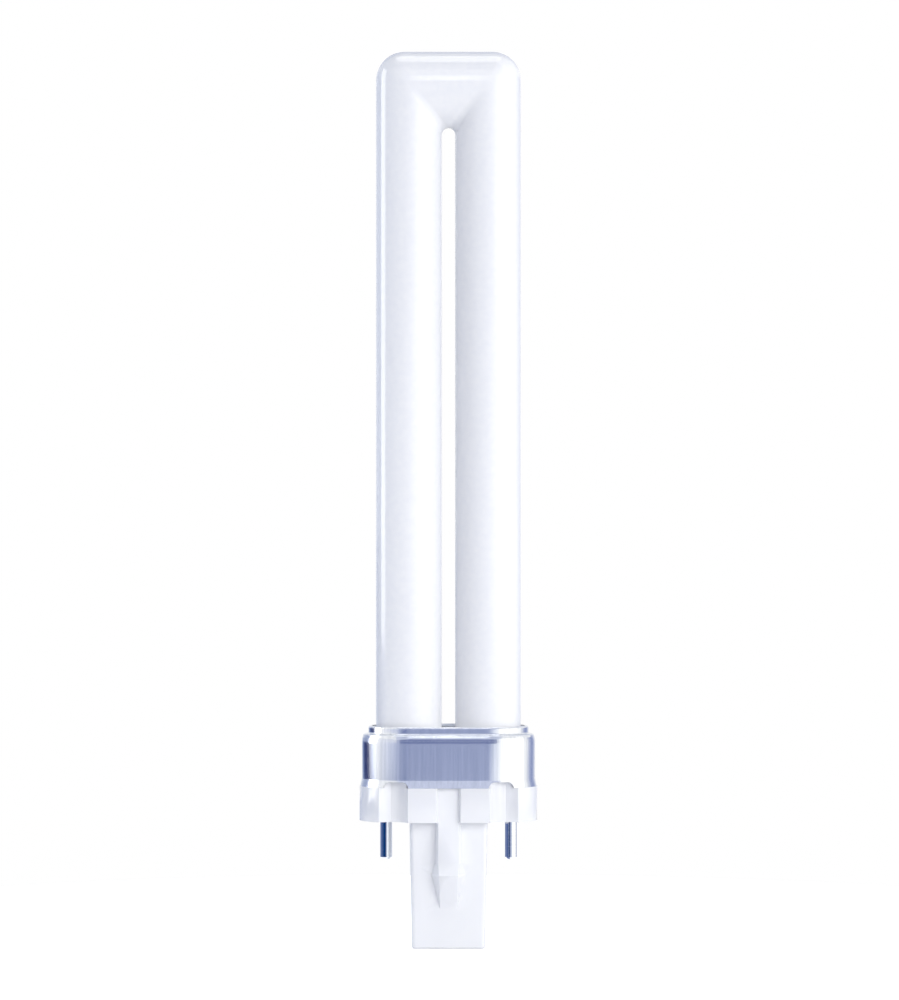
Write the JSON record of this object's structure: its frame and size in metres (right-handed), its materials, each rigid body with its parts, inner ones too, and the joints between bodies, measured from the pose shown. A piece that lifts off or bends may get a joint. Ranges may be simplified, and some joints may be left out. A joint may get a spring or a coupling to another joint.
{
  "type": "u shaped fluorescent bulb",
  "caption": "U-shaped compact fluorescent lamp with a white coated tube, metal collar, moulded two-pin plug-in cap and latching post.",
  "frame": {"origin": "centre of the flat end of the plug post, which is the lowest point", "axes": "+Z along the glass towards its bridge, +X across the two contact pins, -Y the front"},
  "size_m": [0.0328, 0.0186, 0.165],
  "materials": {
    "coated_glass": "clear glossy glass over a matt white fired coat",
    "drawn_aluminium": "bright, drawn",
    "white_moulding": "satin",
    "plated_pins": "nickel plated",
    "cement": "matt, set paste",
    "clear_glass": "clear",
    "dipped_lacquer": "glossy dip",
    "lead_wire": "bare drawn wire"
  },
  "bodies": {
    "root": {"discharge_tube": "coated_glass", "cap_collar": "drawn_aluminium", "base_housing": "white_moulding", "pin_left": "plated_pins", "pin_right": "plated_pins", "capping_cement": "cement", "glow_starter": "clear_glass", "starter_capacitor": "dipped_lacquer", "pin_lead_left": "lead_wire", "pin_lead_right": "lead_wire", "starter_lead_left": "lead_wire", "starter_lead_right": "lead_wire"}
  },
  "joints": []
}
